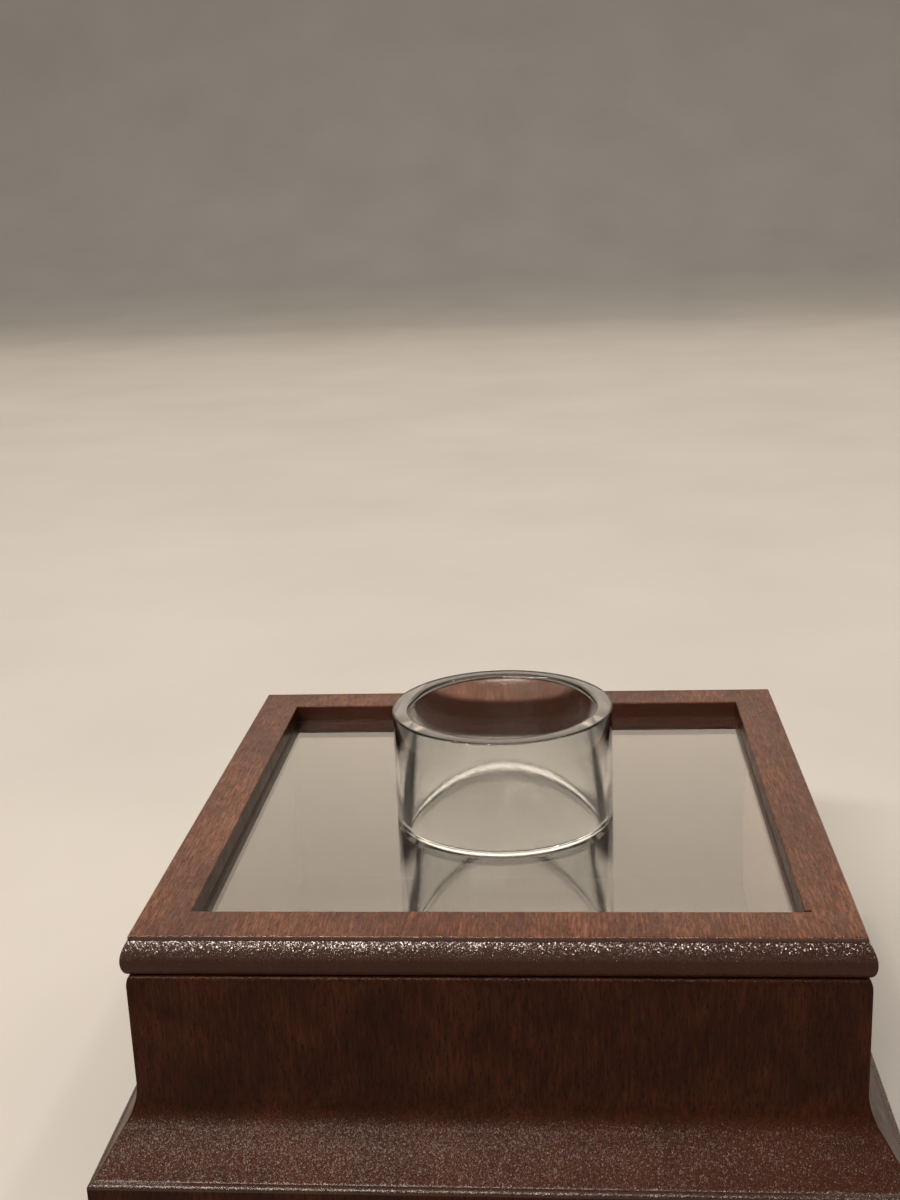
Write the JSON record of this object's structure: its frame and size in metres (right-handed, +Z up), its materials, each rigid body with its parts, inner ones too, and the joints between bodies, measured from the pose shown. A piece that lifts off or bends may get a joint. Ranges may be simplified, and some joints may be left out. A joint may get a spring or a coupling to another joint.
{
  "type": "glass-topped shadow box",
  "caption": "Square dark wood display box with a moulded base, a hinged lid with a recessed glass pane, a velvet-lined inside and a loose clear ring that holds a ball on the glass.",
  "frame": {"origin": "middle of the base, on the surface that the box stands on", "axes": "+Z up, the front faces -Y, the hinges are on the +Y side, +X to the right seen from the front"},
  "size_m": [0.127, 0.127, 0.0684],
  "materials": {
    "wood": "dark red-brown stain under satin lacquer",
    "panel": "stained plywood, unlacquered",
    "velvet": "short pile velvet over card",
    "felt": "pressed felt",
    "glass": "clear float glass with ground edges",
    "acrylic": "clear cast acrylic tube with polished rims",
    "brass": "bright brass, slightly dulled",
    "steel": "zinc-plated"
  },
  "bodies": {
    "case": {"front_wall": "wood", "right_wall": "wood", "back_wall": "wood", "left_wall": "wood", "floor_panel": "panel", "floor_screw_front": "steel", "floor_screw_right": "steel", "floor_screw_back": "steel", "floor_screw_left": "steel", "front_lining": "velvet", "right_lining": "velvet", "back_lining": "velvet", "left_lining": "velvet", "floor_lining": "velvet", "foot_pad_front_left": "felt", "foot_pad_back_left": "felt", "foot_pad_front_right": "felt", "foot_pad_back_right": "felt", "left_hinge_case_leaf": "brass", "right_hinge_case_leaf": "brass", "left_hinge_pin": "brass", "right_hinge_pin": "brass", "left_hinge_case_screw_left": "brass", "left_hinge_case_screw_right": "brass", "right_hinge_case_screw_left": "brass", "right_hinge_case_screw_right": "brass", "catch_magnet": "steel"},
    "lid": {"lid_frame": "wood", "glass_pane": "glass", "glazing_bead_front": "wood", "glazing_bead_right": "wood", "glazing_bead_back": "wood", "glazing_bead_left": "wood", "left_hinge_lid_leaf": "brass", "right_hinge_lid_leaf": "brass", "left_hinge_lid_screw_left": "brass", "left_hinge_lid_screw_right": "brass", "right_hinge_lid_screw_left": "brass", "right_hinge_lid_screw_right": "brass", "catch_strike": "steel"},
    "ring": {"ball_ring": "acrylic"}
  },
  "joints": [
    {"name": "lid_hinge", "type": "hinge", "parent": "case", "child": "lid", "pos_m": [0, 0.0583, 0.04425], "axis": [-1, 0, 0], "range_deg": [0, 100]},
    {"name": "ring_lift", "type": "slide", "parent": "lid", "child": "ring", "axis": [0, 0, 1], "range_m": [0, 0.08]}
  ]
}
